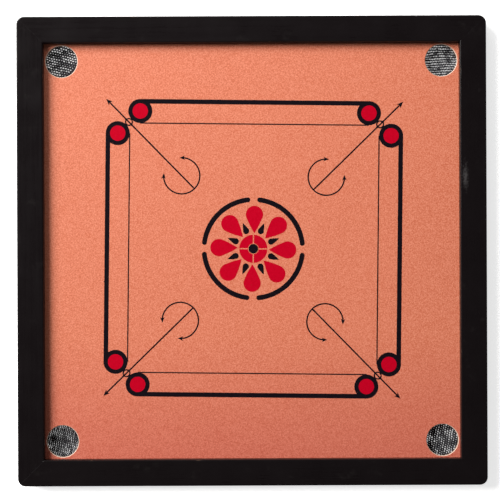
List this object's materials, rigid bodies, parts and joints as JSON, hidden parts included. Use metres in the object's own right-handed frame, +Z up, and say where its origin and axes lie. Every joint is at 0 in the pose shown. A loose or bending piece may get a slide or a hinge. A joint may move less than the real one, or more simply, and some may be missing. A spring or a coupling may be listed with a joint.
{
  "type": "carrom board",
  "caption": "Square wooden carrom board with a raised mitred frame, four corner pockets, printed play face and a tacked net under each pocket.",
  "frame": {"origin": "under the middle of the board, in the plane of the tack heads that it rests on", "axes": "+Z up from the play face, -Y towards the front rail, +X towards the right rail"},
  "size_m": [0.66, 0.66, 0.028],
  "materials": {
    "frame_paint": "softwood rail with semi-gloss black paint",
    "playboard": "thin plywood, orange lacquer with black and red screen print",
    "net": "open knitted polyester mesh, matt",
    "tack_brass": "polished domed head",
    "nail_steel": "bright wire, head painted over",
    "ink_black": "black screen-printing ink on the playboard's two faces",
    "ink_red": "red screen-printing ink on the playboard's upper face"
  },
  "bodies": {
    "root": {"rail_front": "frame_paint", "rail_rear": "frame_paint", "rail_left": "frame_paint", "rail_right": "frame_paint", "playboard": "playboard", "net_front_left": "net", "net_front_right": "net", "net_rear_left": "net", "net_rear_right": "net", "tack_front_left_corner": "tack_brass", "tack_front_left_front_rail": "tack_brass", "tack_front_left_side_rail": "tack_brass", "tack_front_right_corner": "tack_brass", "tack_front_right_front_rail": "tack_brass", "tack_front_right_side_rail": "tack_brass", "tack_rear_left_corner": "tack_brass", "tack_rear_left_rear_rail": "tack_brass", "tack_rear_left_side_rail": "tack_brass", "tack_rear_right_corner": "tack_brass", "tack_rear_right_rear_rail": "tack_brass", "tack_rear_right_side_rail": "tack_brass", "nail_front_left_low": "nail_steel", "nail_front_left_high": "nail_steel", "nail_front_right_low": "nail_steel", "nail_front_right_high": "nail_steel", "nail_rear_left_low": "nail_steel", "nail_rear_left_high": "nail_steel", "nail_rear_right_low": "nail_steel", "nail_rear_right_high": "nail_steel"}
  },
  "joints": []
}
